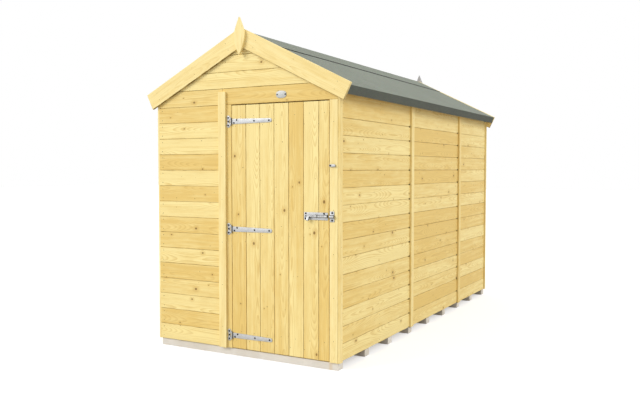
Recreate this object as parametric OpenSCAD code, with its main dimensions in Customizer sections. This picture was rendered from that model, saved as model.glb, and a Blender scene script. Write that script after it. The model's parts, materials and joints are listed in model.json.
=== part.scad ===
// Apex garden shed: tongue-and-groove walls on a bearer floor, felted gable roof,
// ledged and braced door on three tee hinges, with a sliding bolt and a turn button.
// Frame: X to the right, Y to the back, Z up. The front gable faces -Y.
// The origin is on the ground under the middle of the shed.

/* [Walls] */
// Width over the wall cladding
shed_w = 1506; // [1300:1:2400]
// Length over the wall cladding
shed_l = 3350; // [2900:1:4800]
// Cover width of one cladding board
board_pitch = 115; // [95:1:150]
// Boards from the bottom edge of the walls to the eaves
wall_boards = 16; // [14:1:19]
// Boards over the door
header_boards = 1; // [1:1:2]
// Thickness of the cladding
clad_t = 12; // [9:0.5:20]
// Depth of the wall framing, square to the wall
stud_d = 44; // [34:1:70]
// Width of a stud, along the wall
stud_w = 35; // [27:1:60]
// Height of a wall rail
rail_h = 45; // [34:1:70]
// Length of the front side panel, from the face of the front wall
side_front_l = 1270; // [900:1:1600]
// Length of the middle side panel
side_middle_l = 1202; // [900:1:1400]
// Joint between neighbouring wall panels
panel_gap = 2; // [1:0.5:6]

/* [Cover strips] */
// Width of the strip over the panel joint of the front wall
strip_w = 62; // [45:1:90]
// Width of a strip over a panel joint of a side wall
side_strip_w = 54; // [40:1:90]
// Width of the strip at the front corner of a side wall
side_corner_w = 44; // [40:1:90]
// Width of the bead over the end grain at a back corner
back_bead_w = 13; // [12:0.5:60]
// Thickness of a cover strip
strip_t = 15; // [9:0.5:24]
// Width of the corner strip beside the door
corner_strip_w = 60; // [50:1:90]
// Distance from the eaves to the top of the side strips
side_strip_drop = 10; // [6:1:40]
// Distance from the eaves to the top of the front strip
front_strip_drop = 23; // [6:1:60]

/* [Floor] */
// Width of a floor bearer
bearer_w = 70; // [40:1:120]
// Height of a floor bearer
bearer_h = 50; // [34:1:100]
// Number of floor bearers
bearer_count = 9; // [5:1:12]
// Inset of the first and last bearer from the wall faces
bearer_inset = 10; // [2:1:60]
// Inset of the bearer ends from the wall faces
bearer_end_inset = 3; // [1:1:60]
// Thickness of the floor deck
deck_t = 14; // [12:0.5:24]
// Gap between the deck and the back of the cladding
deck_gap = 5; // [5:0.5:12]
// How far the cladding hangs below the top of the deck
wall_drop = 12; // [4:0.5:13]

/* [Roof] */
// Slope of the roof
roof_pitch = 26.5; // [15:0.5:40]
// Room between the eaves of the cladding and the roof boards
roof_seat = 2; // [1:0.5:8]
// Thickness of the roof boards
roof_board_t = 11; // [9:0.5:20]
// Overhang of the roof boards past the side walls, along the slope
eaves_overhang = 92.5; // [90:0.5:160]
// Depth of the eaves rail, square to the roof
eaves_rail_d = 48; // [34:1:70]
// Thickness of the eaves rail
eaves_rail_t = 38; // [27:1:45]
// Thickness of the roofing felt
felt_t = 3; // [2:0.5:5]
// Reach of the ridge felt down each slope
ridge_felt_reach = 405; // [200:1:600]
// Width of a purlin
purlin_w = 35; // [27:1:60]
// Depth of a purlin
purlin_d = 45; // [34:1:70]
// Distance of the middle purlin from the ridge, along the slope
purlin_reach = 440; // [300:1:600]
// Depth of the ridge purlin below the peak of the roof
ridge_purlin_d = 80; // [60:1:120]
// Thickness of a roof truss
truss_t = 35; // [27:1:60]
// Depth of a truss rafter, measured upright
truss_d = 75; // [60:1:110]
// Depth of the truss gusset below the peak of the roof
gusset_d = 190; // [150:1:260]
// Width of a bargeboard
barge_w = 122; // [95:1:150]
// Thickness of a bargeboard and of a finial
barge_t = 18; // [12:0.5:28]
// How far the front bargeboards stand above the underside of the roof boards
barge_rise = 32; // [22:0.5:60]
// How far the back bargeboards stand above the underside of the roof boards
back_barge_rise = 19; // [16:0.5:60]
// How far the bargeboards reach past the roof boards, along the slope
barge_reach = 6.6; // [4:0.1:30]
// Height of a finial
finial_h = 261; // [180:1:340]
// Width of a finial
finial_w = 92; // [60:1:130]
// How far a finial stands above the bargeboards
finial_rise = 68; // [30:1:120]
// Share of a finial's height above its widest place
finial_upper_share = 0.45; // [0.35:0.01:0.6]
// Power of the edge above the widest place, 1 for a straight one
finial_upper_power = 1.1; // [1:0.1:2.5]
// Power of the edge below the widest place
finial_lower_power = 1.9; // [1:0.1:2.5]

/* [Door] */
// Width of the door
door_w = 777; // [600:1:850]
// Thickness of the door boards
door_t = 12; // [9:0.5:20]
// Gap round the door
door_gap = 6; // [5:0.5:10]
// Width of the post that carries the hinges
hinge_post_w = 70; // [66:1:90]
// Width of the stop behind the latch edge of the door
stop_w = 20; // [12:1:30]
// Gap between the door and its stop
stop_gap = 5; // [5:0.5:10]
// Height of a ledge on the back of the door
ledge_h = 95; // [60:1:120]
// Thickness of the ledges and braces
ledge_t = 20; // [12:0.5:28]
// Inset of the ledge ends from the door edges
ledge_inset = 45; // [40:1:80]
// Width of a brace along its ends
brace_w = 85; // [60:1:110]
// Height of the lowest hinge above the bottom of the door
hinge_low = 88; // [70:1:200]
// Distance of the top hinge below the top of the door
hinge_top = 112; // [70:1:200]

/* [Tee hinges] */
// Thickness of the hinge plates, bolt plate and keep
plate_t = 2.5; // [1.5:0.1:3]
// Radius of a hinge knuckle
knuckle_r = 5.5; // [5:0.1:7]
// Radius of a hinge pin
pin_r = 3; // [2:0.1:3.5]
// Running clearance between a pin and its knuckle
pin_gap = 0.1; // [0.05:0.05:0.3]
// Height of the moving knuckle
knuckle_h = 25; // [18:1:30]
// Height of each fixed knuckle
fixed_knuckle_h = 14; // [8:1:18]
// Gap between the knuckles of a hinge
knuckle_gap = 0.5; // [0.3:0.1:1]
// Radius of the rounded ends of the fixed leaf
leaf_lobe_r = 15; // [10:0.5:16]
// Distance between the rounded ends of the fixed leaf
leaf_span = 54; // [44:1:70]
// Width of the waist of the fixed leaf
leaf_waist_w = 17; // [10:0.5:20]
// Distance of the fixed leaf's middle from the hinge pin
leaf_offset = 25; // [23:0.5:26]
// Length of a strap from the hinge pin to its tip
strap_l = 338; // [200:1:450]
// Height of a strap at its root
strap_root_h = 37; // [30:1:60]
// Height of a strap at its tip
strap_tip_h = 27; // [20:1:40]
// Distance from the hinge pin to the full height of the strap
strap_neck = 10; // [9:0.5:14]

/* [Bolt and button] */
// Height of the bolt above the bottom edge of the walls
bolt_height = 963; // [500:1:1400]
// Length of the bolt plate
bolt_plate_l = 181; // [150:1:220]
// Height of the bolt plate
bolt_plate_h = 50; // [36:1:60]
// Inset of the bolt plate from the latch edge of the door
bolt_plate_inset = 6; // [2:0.5:12]
// Radius of the bolt
bolt_r = 6; // [4:0.5:8]
// Clearance round the bolt in its guides
bolt_gap = 0.4; // [0.2:0.1:1]
// Wall of the guides and of the keep
guide_wall = 3; // [2:0.1:4]
// Length of a bolt guide
guide_l = 20; // [12:1:26]
// Distance of the rear guide from the end of the bolt plate
guide_inset = 84; // [82:1:92]
// How far the bolt reaches behind its lug
bolt_tail = 5; // [3:0.5:8]
// Width of the bolt's lug
lug_w = 18; // [12:0.5:22]
// Thickness of the bolt's lug
lug_t = 8; // [5:0.5:10]
// Length of the lug from the middle of the bolt
lug_l = 32; // [22:0.5:32]
// Turn of the lug from upright, outwards, so that it hangs
lug_turn = 155; // [140:1:165]
// Gap between the lug and the rear guide while the bolt is drawn back
lug_gap = 39; // [39:0.5:42]
// Inset of the keep from the edge of the corner strip
keep_inset = 4; // [2:0.5:10]
// Length of the keep, along the bolt
keep_l = 32; // [18:1:36]
// Height of the keep over its flanges
keep_h = 70; // [54:1:80]
// Clearance round the bolt in its keep
keep_gap = 1.5; // [1:0.1:2]
// Height of the turn button above the bottom edge of the walls
button_height = 1296; // [1100:1:1500]
// Inset of the button's pivot from the edge of the corner strip
button_inset = 9; // [8:0.5:12]
// Radius of the button's ends
button_r = 8; // [6:0.5:8]
// Reach of the button from its pivot to the middle of its tip
button_reach = 30; // [14:0.5:32]
// Thickness of the turn button
button_t = 4; // [2:0.5:6]
// Gap between the corner strip and the turn button
button_gap = 5; // [5:0.5:8]
// Radius of the button's screw
button_screw_r = 2.5; // [1.5:0.1:3.5]
// Clearance round the button's screw
button_clearance = 0.1; // [0.05:0.05:0.3]

/* [Name plate] */
// Width of the bare plate over the door
name_plate_w = 82; // [50:1:120]
// Height of the bare plate
name_plate_h = 49; // [40:1:70]
// Thickness of the bare plate
name_plate_t = 2; // [1:0.1:4]
// Squareness of the bare plate's outline, 2 for an ellipse
name_plate_power = 2.6; // [2:0.1:6]
// Distance of the plate below the middle of the header
name_plate_drop = 6; // [0:1:20]
// Distance of the plate from the middle of the door, towards the latch
name_plate_shift = 23; // [0:1:60]

/* [Hidden] */
$fn = 48;

// Clearance between pieces that seat on a slope
seat_gap = 0.3;
// Overlap of a cutting shape past the face that it cuts
cut = 1;

// Planes of the walls
x_clad = shed_w / 2;
y_clad = shed_l / 2;
x_frame = x_clad - clad_t;
y_frame = y_clad - clad_t;
x_inside = x_frame - stud_d;
y_inside = y_frame - stud_d;
deck_top = bearer_h + deck_t;
wall_z = deck_top - wall_drop;
wall_top = wall_z + wall_boards * board_pitch;
head_z = wall_top - header_boards * board_pitch;
rail_top = deck_top + rail_h;
tie_top = head_z + rail_h;
joint_front_y = -y_clad + side_front_l;
joint_rear_y = joint_front_y + side_middle_l;

// Doorway, set out from the corner strip beside the latch
corner_x = x_clad - corner_strip_w;
door_x1 = corner_x - door_gap;
door_x0 = door_x1 - door_w;
door_z0 = wall_z + door_gap;
door_z1 = head_z - door_gap;
door_mid_x = (door_x0 + door_x1) / 2;
post_x1 = door_x0 - door_gap;
post_x0 = post_x1 - hinge_post_w;
door_front_y = -y_clad;
door_back_y = door_front_y + door_t;
strip_face_y = -y_frame - strip_t;

// Hinges
hinge_x = door_x0 - door_gap / 2;
hinge_y = door_front_y - knuckle_r - seat_gap;
hinge_zs = [
    door_z0 + hinge_low,
    (door_z0 + hinge_low + door_z1 - hinge_top) / 2,
    door_z1 - hinge_top
];
fixed_knuckle_z = knuckle_h / 2 + knuckle_gap;

// Bolt and keep
bolt_z = wall_z + bolt_height;
bolt_y = strip_face_y - bolt_r - cut;
bolt_plate_x1 = door_x1 - bolt_plate_inset;
bolt_plate_x0 = bolt_plate_x1 - bolt_plate_l;
guide_x0 = bolt_plate_x0 + guide_inset;
lug_x0 = guide_x0 - lug_gap - lug_w;
bolt_x0 = lug_x0 - bolt_tail;
guide_bore_r = bolt_r + bolt_gap;
keep_bore_r = bolt_r + keep_gap;

// Roof: s runs down the slope from the ridge, n stands square to it
roof_peak = wall_top + roof_seat + x_clad * tan(roof_pitch);
eaves_s = x_clad / cos(roof_pitch) + eaves_overhang;
felt_n = roof_board_t + seat_gap;
felt_top_n = felt_n + felt_t;
ridge_felt_n = felt_top_n + seat_gap;
barge_s = eaves_s + barge_reach;
barge_front_y = -y_clad - barge_t;

// Height of the underside of the roof boards over a distance h from the middle
function roof_z(h) = roof_peak - abs(h) * tan(roof_pitch);
// Height below the roof boards by a depth d square to the slope, with the seat gap
function under_roof(h, d = 0) = roof_z(h) - (d + seat_gap) / cos(roof_pitch);
// Point on the right slope
function slope_pt(s, n) = [
    s * cos(roof_pitch) + n * sin(roof_pitch),
    roof_peak - s * sin(roof_pitch) + n * cos(roof_pitch)
];
// Point on the upright plane through the ridge
function ridge_pt(n) = [0, roof_peak + n / cos(roof_pitch)];
// A point mirrored to the left slope
function left(p) = [-p.x, p.y];

// Box between two corners
module block(a, b) {
    translate(a) cube(b - a);
}

// Extrude an outline drawn in X and Z
module along_y(y0, y1) {
    translate([0, y1, 0]) rotate([90, 0, 0]) linear_extrude(y1 - y0) children();
}

// Extrude an outline drawn in Y and Z
module along_x(x0, x1) {
    translate([x0, 0, 0]) rotate([90, 0, 90]) linear_extrude(x1 - x0) children();
}

// A shape and its mirror image on the left
module both_sides() {
    children();
    mirror([1, 0, 0]) children();
}

// A shape and its mirror image at the back
module both_ends() {
    children();
    mirror([0, 1, 0]) children();
}

// Floor
module floor_bearers() {
    first_y = -y_clad + bearer_inset;
    pitch = (shed_l - 2 * bearer_inset - bearer_w) / (bearer_count - 1);
    end_x = x_clad - bearer_end_inset;
    color("#cdc4b6")
        for (i = [0 : bearer_count - 1]) {
            y = first_y + i * pitch;
            block([-end_x, y, 0], [end_x, y + bearer_w, bearer_h]);
        }
}

module floor_deck() {
    deck_x = x_frame - deck_gap;
    deck_y = y_frame - deck_gap;
    color("#e6cf9a") block([-deck_x, -deck_y, bearer_h], [deck_x, deck_y, deck_top]);
}

// Front wall
module front_left_panel() {
    color("#f2dc9c")
        block([-x_clad, -y_clad, wall_z], [post_x0 - panel_gap, -y_frame, wall_top]);
}

module door_header() {
    color("#e6c67c") block([post_x0, -y_clad, head_z], [x_clad, -y_frame, wall_top]);
}

module gable_outline(base_z) {
    polygon([
        [-x_clad, base_z],
        [x_clad, base_z],
        [x_clad, under_roof(x_clad)],
        [0, under_roof(0)],
        [-x_clad, under_roof(x_clad)]
    ]);
}

module front_gable() {
    color("#f2dc9c") along_y(-y_clad, -y_frame) gable_outline(wall_top);
}

module hinge_post() {
    color("#f0dba4") {
        block([post_x0, -y_clad, wall_z], [post_x1, -y_frame, head_z]);
        block([post_x0, -y_frame, deck_top], [post_x1, -y_inside, head_z]);
    }
}

module latch_post() {
    stop_y = door_back_y + stop_gap;
    color("#f0dba4") {
        block([corner_x, -y_frame, deck_top], [x_frame, -y_inside, head_z]);
        block([corner_x - stop_w, stop_y, deck_top], [corner_x, -y_inside, head_z]);
    }
}

module front_cover_strips() {
    joint_x = post_x0 - panel_gap / 2;
    color("#f6e8bd") {
        block(
            [joint_x - strip_w / 2, -y_clad - strip_t, wall_z],
            [joint_x + strip_w / 2, -y_clad, wall_top - front_strip_drop]
        );
        block([corner_x, strip_face_y, wall_z], [x_clad, -y_frame, head_z]);
    }
}

// End-wall framing
module end_stud(x, z0, z1) {
    block([x, -y_frame, z0], [x + stud_w, -y_inside, z1]);
}

module king_stud_outline(base_z) {
    half = stud_w / 2;
    polygon([
        [-half, base_z],
        [half, base_z],
        [half, under_roof(half)],
        [0, under_roof(0)],
        [-half, under_roof(half)]
    ]);
}

module eaves_stud_outline() {
    inner = x_frame - stud_w;
    polygon([
        [inner, tie_top],
        [x_frame, tie_top],
        [x_frame, under_roof(x_frame, rail_h) - seat_gap],
        [inner, under_roof(inner, rail_h) - seat_gap]
    ]);
}

module end_wall_studs() {
    color("#ead6a6") {
        end_stud(-x_frame, rail_top, head_z);
        end_stud(post_x0 - panel_gap - stud_w, rail_top, head_z);
        mirror([0, 1, 0]) {
            end_stud(-x_frame, rail_top, head_z);
            end_stud(-stud_w / 2, rail_top, head_z);
            end_stud(x_frame - stud_w, rail_top, head_z);
        }
        both_ends() {
            along_y(-y_frame, -y_inside) king_stud_outline(tie_top);
            both_sides() along_y(-y_frame, -y_inside) eaves_stud_outline();
        }
    }
}

module slope_rail_outline() {
    half = stud_w / 2;
    polygon([
        [half, under_roof(half, rail_h)],
        [x_frame, under_roof(x_frame, rail_h)],
        [x_frame, under_roof(x_frame)],
        [half, under_roof(half)]
    ]);
}

module end_wall_rails() {
    color("#e6d09c") {
        block([-x_frame, -y_frame, deck_top], [post_x0 - panel_gap, -y_inside, rail_top]);
        block([-x_frame, y_inside, deck_top], [x_frame, y_frame, rail_top]);
        both_ends() {
            block([-x_frame, -y_frame, head_z], [x_frame, -y_inside, tie_top]);
            both_sides() along_y(-y_frame, -y_inside) slope_rail_outline();
        }
    }
}

module back_panel() {
    color("#f2dc9c") along_y(y_frame, y_clad) gable_outline(wall_z);
}

// Side walls, drawn on the right and mirrored to the left
side_bounds = [
    [-y_frame, joint_front_y - panel_gap / 2],
    [joint_front_y + panel_gap / 2, joint_rear_y - panel_gap / 2],
    [joint_rear_y + panel_gap / 2, y_frame]
];
// The side frames stand between the frames of the end walls
function frame_bounds(i) = [max(side_bounds[i][0], -y_inside), min(side_bounds[i][1], y_inside)];

module side_panel(i) {
    block([x_frame, side_bounds[i][0], wall_z], [x_clad, side_bounds[i][1], wall_top]);
}

module side_studs() {
    for (i = [0 : 2]) {
        b = frame_bounds(i);
        middle_y = (b[0] + b[1] - stud_w) / 2;
        for (y = [b[0], middle_y, b[1] - stud_w])
            block([x_inside, y, rail_top], [x_frame, y + stud_w, wall_top - rail_h]);
    }
}

module side_rails() {
    for (i = [0 : 2]) {
        b = frame_bounds(i);
        block([x_inside, b[0], deck_top], [x_frame, b[1], rail_top]);
        along_y(b[0], b[1])
            polygon([
                [x_inside, wall_top - rail_h],
                [x_frame, wall_top - rail_h],
                [x_frame, under_roof(x_frame)],
                [x_inside, under_roof(x_inside)]
            ]);
    }
}

module side_strip(y, w) {
    block([x_clad, y, wall_z], [x_clad + strip_t, y + w, wall_top - side_strip_drop]);
}

module side_cover_strips() {
    side_strip(-y_clad, side_corner_w);
    for (y = [joint_front_y, joint_rear_y]) side_strip(y - side_strip_w / 2, side_strip_w);
    side_strip(y_clad - back_bead_w, back_bead_w);
}

module right_front_panel() {
    color("#efd694") side_panel(0);
}

module right_middle_panel() {
    color("#efd694") side_panel(1);
}

module right_rear_panel() {
    color("#efd694") side_panel(2);
}

module right_studs() {
    color("#ead6a6") side_studs();
}

module right_rails() {
    color("#e6d09c") side_rails();
}

module right_cover_strips() {
    color("#f3e3b2") side_cover_strips();
}

module left_front_panel() {
    color("#efd694") mirror([1, 0, 0]) side_panel(0);
}

module left_middle_panel() {
    color("#efd694") mirror([1, 0, 0]) side_panel(1);
}

module left_rear_panel() {
    color("#efd694") mirror([1, 0, 0]) side_panel(2);
}

module left_studs() {
    color("#ead6a6") mirror([1, 0, 0]) side_studs();
}

module left_rails() {
    color("#e6d09c") mirror([1, 0, 0]) side_rails();
}

module left_cover_strips() {
    color("#f3e3b2") mirror([1, 0, 0]) side_cover_strips();
}

// Roof
module roof_slope() {
    along_y(-y_clad, y_clad)
        polygon([
            ridge_pt(0),
            slope_pt(eaves_s, 0),
            slope_pt(eaves_s, roof_board_t),
            ridge_pt(roof_board_t)
        ]);
}

module roof_boards_right() {
    color("#d9bf8a") roof_slope();
}

module roof_boards_left() {
    color("#d9bf8a") mirror([1, 0, 0]) roof_slope();
}

module eaves_rails() {
    color("#d6bd88")
        both_sides() along_y(-y_clad, y_clad)
            polygon([
                slope_pt(eaves_s - eaves_rail_t, -seat_gap),
                slope_pt(eaves_s - eaves_rail_t, -eaves_rail_d),
                slope_pt(eaves_s, -eaves_rail_d),
                slope_pt(eaves_s, -seat_gap)
            ]);
}

module ridge_purlin_outline() {
    half = purlin_w / 2;
    polygon([
        [-half, under_roof(0) - ridge_purlin_d],
        [half, under_roof(0) - ridge_purlin_d],
        [half, under_roof(half)],
        [0, under_roof(0)],
        [-half, under_roof(half)]
    ]);
}

module middle_purlin_outline() {
    s0 = purlin_reach - purlin_w / 2;
    s1 = purlin_reach + purlin_w / 2;
    polygon([
        slope_pt(s0, -seat_gap - purlin_d),
        slope_pt(s1, -seat_gap - purlin_d),
        slope_pt(s1, -seat_gap),
        slope_pt(s0, -seat_gap)
    ]);
}

module roof_purlins() {
    bays = [
        [-y_inside, joint_front_y - truss_t / 2],
        [joint_front_y + truss_t / 2, joint_rear_y - truss_t / 2],
        [joint_rear_y + truss_t / 2, y_inside]
    ];
    color("#dcc592")
        for (bay = bays)
            along_y(bay[0], bay[1]) {
                ridge_purlin_outline();
                both_flat() middle_purlin_outline();
            }
}

// An outline and its mirror image on the left
module both_flat() {
    children();
    mirror([1, 0]) children();
}

module truss_outline() {
    gusset_z = under_roof(0) - gusset_d;
    gusset_x = (under_roof(0) - truss_d - gusset_z) / tan(roof_pitch);
    foot_z = under_roof(x_inside) - truss_d;
    polygon([
        [0, under_roof(0)],
        [x_inside, under_roof(x_inside)],
        [x_inside, foot_z],
        [gusset_x, gusset_z],
        [-gusset_x, gusset_z],
        [-x_inside, foot_z],
        [-x_inside, under_roof(x_inside)]
    ]);
}

module roof_trusses() {
    color("#dcc592")
        for (y = [joint_front_y, joint_rear_y])
            along_y(y - truss_t / 2, y + truss_t / 2) truss_outline();
}

// The main felt covers both slopes and turns down over the eaves rails
module felt_edge_outline() {
    inner_s = eaves_s + seat_gap;
    outer_s = inner_s + felt_t;
    polygon([
        ridge_pt(felt_n),
        slope_pt(inner_s, felt_n),
        slope_pt(inner_s, -eaves_rail_d),
        slope_pt(outer_s, -eaves_rail_d),
        slope_pt(outer_s, felt_top_n),
        ridge_pt(felt_top_n)
    ]);
}

module roof_felt() {
    color("#8f998f") along_y(-y_clad, y_clad) both_flat() felt_edge_outline();
}

module ridge_felt() {
    n0 = ridge_felt_n;
    n1 = ridge_felt_n + felt_t;
    color("#98a298") along_y(-y_clad, y_clad)
        polygon([
            ridge_pt(n0),
            slope_pt(ridge_felt_reach, n0),
            slope_pt(ridge_felt_reach, n1),
            ridge_pt(n1),
            left(slope_pt(ridge_felt_reach, n1)),
            left(slope_pt(ridge_felt_reach, n0))
        ]);
}

// Bargeboards and finials
module bargeboard(rise) {
    along_y(barge_front_y, -y_clad)
        polygon([
            ridge_pt(rise - barge_w),
            slope_pt(barge_s, rise - barge_w),
            slope_pt(barge_s, rise),
            ridge_pt(rise)
        ]);
}

module front_bargeboard_right() {
    color("#efdca8") bargeboard(barge_rise);
}

module front_bargeboard_left() {
    color("#efdca8") mirror([1, 0, 0]) bargeboard(barge_rise);
}

module back_bargeboard_right() {
    color("#efdca8") mirror([0, 1, 0]) bargeboard(back_barge_rise);
}

module back_bargeboard_left() {
    color("#efdca8") mirror([1, 0, 0]) mirror([0, 1, 0]) bargeboard(back_barge_rise);
}

// Half width of a finial at a share t of the way from its widest place to a tip
function finial_half(t, power) = finial_w / 2 * (1 - pow(t, power));

// A pointed leaf: nearly straight edges above its widest place, and rounded ones below
module finial_outline() {
    steps = 16;
    upper = finial_h * finial_upper_share;
    lower = finial_h - upper;
    right_edge = [
        for (i = [0 : steps])
            let (t = 1 - i / steps) [finial_half(t, finial_upper_power), upper * t],
        for (i = [1 : steps])
            let (t = i / steps) [finial_half(t, finial_lower_power), -lower * t]
    ];
    left_edge = [for (i = [2 * steps - 1 : -1 : 1]) left(right_edge[i])];
    polygon(concat(right_edge, left_edge));
}

// A finial on the peak of bargeboards with a given rise
module finial(rise) {
    widest_z = ridge_pt(rise).y + finial_rise - finial_h * finial_upper_share;
    along_y(barge_front_y - barge_t, barge_front_y) translate([0, widest_z]) finial_outline();
}

module finials() {
    color("#f0dfae") {
        finial(barge_rise);
        mirror([0, 1, 0]) finial(back_barge_rise);
    }
}

// Door
module door_boards() {
    color("#f4dfa2") block([door_x0, door_front_y, door_z0], [door_x1, door_back_y, door_z1]);
}

module door_ledges() {
    color("#ecd9a6")
        for (z = hinge_zs)
            block(
                [door_x0 + ledge_inset, door_back_y, z - ledge_h / 2],
                [door_x1 - ledge_inset, door_back_y + ledge_t, z + ledge_h / 2]
            );
}

// Braces rise from the hinge edge to the latch edge between two ledges
module door_braces() {
    x0 = door_x0 + ledge_inset;
    x1 = door_x1 - ledge_inset;
    color("#e9d49c")
        for (i = [0, 1]) {
            z0 = hinge_zs[i] + ledge_h / 2;
            z1 = hinge_zs[i + 1] - ledge_h / 2;
            along_y(door_back_y, door_back_y + ledge_t)
                polygon([[x0, z0], [x0 + brace_w, z0], [x1, z1], [x1 - brace_w, z1]]);
        }
}

// Tee hinges
module fixed_leaf() {
    lobe_z = leaf_span / 2;
    along_y(door_front_y - plate_t, door_front_y) {
        for (z = [-lobe_z, lobe_z]) translate([hinge_x - leaf_offset, z]) circle(leaf_lobe_r);
        translate([hinge_x - leaf_offset - leaf_waist_w / 2, -lobe_z]) square([leaf_waist_w, leaf_span]);
        for (z = [-fixed_knuckle_z - fixed_knuckle_h, fixed_knuckle_z])
            translate([hinge_x - leaf_offset, z]) square([leaf_offset, fixed_knuckle_h]);
    }
    translate([hinge_x, hinge_y, 0]) {
        for (z = [-fixed_knuckle_z - fixed_knuckle_h, fixed_knuckle_z])
            translate([0, 0, z]) cylinder(fixed_knuckle_h, r = knuckle_r);
        pin_h = 2 * (fixed_knuckle_z + fixed_knuckle_h);
        cylinder(pin_h, r = pin_r, center = true);
    }
}

module hinge_plates() {
    color("#d6d8dc") for (z = hinge_zs) translate([0, 0, z]) fixed_leaf();
}

module strap_outline() {
    tip_r = strap_tip_h / 2;
    translate([0, -knuckle_h / 2]) square([strap_neck, knuckle_h]);
    polygon([
        [strap_neck, -strap_root_h / 2],
        [strap_l - tip_r, -tip_r],
        [strap_l - tip_r, tip_r],
        [strap_neck, strap_root_h / 2]
    ]);
    translate([strap_l - tip_r, 0]) circle(tip_r);
}

module strap() {
    difference() {
        union() {
            translate([hinge_x, hinge_y, 0]) cylinder(knuckle_h, r = knuckle_r, center = true);
            translate([hinge_x, 0, 0]) along_y(door_front_y - plate_t, door_front_y) strap_outline();
        }
        translate([hinge_x, hinge_y, 0])
            cylinder(knuckle_h + 2 * cut, r = pin_r + pin_gap, center = true);
    }
}

module hinge_straps() {
    color("#d6d8dc") for (z = hinge_zs) translate([0, 0, z]) strap();
}

// Sliding bolt: a round loop over the bolt, cut off flat at its base
module loop_outline(bore_r, base_y) {
    outer_r = bore_r + guide_wall;
    intersection() {
        union() {
            translate([bolt_y, bolt_z]) circle(outer_r);
            translate([bolt_y, bolt_z - outer_r]) square([base_y - bolt_y, 2 * outer_r]);
        }
        translate([bolt_y - outer_r, bolt_z - outer_r]) square([base_y - bolt_y + outer_r, 2 * outer_r]);
    }
}

module bolt_plate() {
    color("#d6d8dc") difference() {
        union() {
            block(
                [bolt_plate_x0, door_front_y - plate_t, bolt_z - bolt_plate_h / 2],
                [bolt_plate_x1, door_front_y, bolt_z + bolt_plate_h / 2]
            );
            for (x = [guide_x0, bolt_plate_x1 - guide_l])
                along_x(x, x + guide_l) loop_outline(guide_bore_r, door_front_y);
        }
        translate([bolt_plate_x0 - cut, bolt_y, bolt_z]) rotate([0, 90, 0])
            cylinder(bolt_plate_l + 2 * cut, r = guide_bore_r);
    }
}

module bolt_bar() {
    color("#dcdee2") {
        translate([bolt_x0, bolt_y, bolt_z]) rotate([0, 90, 0])
            cylinder(bolt_plate_x1 - bolt_x0, r = bolt_r);
        translate([lug_x0, bolt_y, bolt_z]) rotate([lug_turn, 0, 0])
            translate([0, -lug_t / 2, 0]) cube([lug_w, lug_t, lug_l]);
    }
}

module bolt_keep() {
    x0 = corner_x + keep_inset;
    flange_y = strip_face_y - plate_t;
    color("#d6d8dc") difference() {
        union() {
            block(
                [x0, flange_y, bolt_z - keep_h / 2],
                [x0 + keep_l, strip_face_y, bolt_z + keep_h / 2]
            );
            along_x(x0, x0 + keep_l) loop_outline(keep_bore_r, strip_face_y);
        }
        along_x(x0 - cut, x0 + keep_l + cut) {
            translate([bolt_y, bolt_z]) circle(keep_bore_r);
            translate([bolt_y, bolt_z - keep_bore_r])
                square([strip_face_y - bolt_y + cut, 2 * keep_bore_r]);
        }
    }
}

// Turn button
button_x = corner_x + button_inset;
button_z = wall_z + button_height;
button_back_y = strip_face_y - button_gap;
button_front_y = button_back_y - button_t;

module turn_button() {
    color("#d0d2d6") difference() {
        translate([button_x, 0, button_z])
            along_y(button_front_y, button_back_y) {
                circle(button_r);
                translate([0, -button_r]) square([button_reach, 2 * button_r]);
                translate([button_reach, 0]) circle(button_r);
            }
        translate([button_x, button_back_y + cut, button_z]) rotate([90, 0, 0])
            cylinder(button_t + 2 * cut, r = button_screw_r + button_clearance);
    }
}

// The screw's collar keeps the button off the strip, and its head holds the button on
module button_screw() {
    collar_r = 2 * button_screw_r;
    translate([button_x, strip_face_y, button_z]) rotate([90, 0, 0])
        color("#8a8c90") {
            cylinder(button_gap - seat_gap, r = collar_r);
            cylinder(button_gap + button_t + seat_gap + plate_t, r = button_screw_r);
            translate([0, 0, button_gap + button_t + seat_gap]) cylinder(plate_t, r = collar_r);
        }
}

// Bare plate over the door, a flattened oval
function oval_reach(share, half) = half * sign(share) * pow(abs(share), 2 / name_plate_power);

module name_plate() {
    x = door_mid_x + name_plate_shift;
    z = (head_z + wall_top) / 2 - name_plate_drop;
    outline = [
        for (i = [0 : $fn - 1])
            let (a = 360 * i / $fn)
                [oval_reach(cos(a), name_plate_w / 2), oval_reach(sin(a), name_plate_h / 2)]
    ];
    color("#d3d4da") translate([x, 0, z]) along_y(-y_clad - name_plate_t, -y_clad) polygon(outline);
}

floor_bearers();
floor_deck();
front_left_panel();
door_header();
front_gable();
hinge_post();
latch_post();
front_cover_strips();
end_wall_studs();
end_wall_rails();
back_panel();
right_front_panel();
right_middle_panel();
right_rear_panel();
right_studs();
right_rails();
right_cover_strips();
left_front_panel();
left_middle_panel();
left_rear_panel();
left_studs();
left_rails();
left_cover_strips();
roof_boards_right();
roof_boards_left();
eaves_rails();
roof_purlins();
roof_trusses();
roof_felt();
ridge_felt();
front_bargeboard_right();
front_bargeboard_left();
back_bargeboard_right();
back_bargeboard_left();
finials();
door_boards();
door_ledges();
door_braces();
hinge_plates();
hinge_straps();
bolt_plate();
bolt_bar();
bolt_keep();
turn_button();
button_screw();
name_plate();
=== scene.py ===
"""Looks of the apex garden shed: matched pine boards, felt, zinc hardware, camera and light.

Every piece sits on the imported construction, in metres and in the same frame: X to the right, Y to the back
and Z up.
"""
import json
import math
import random

import bmesh
import bpy
from mathutils import Matrix, Vector


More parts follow.
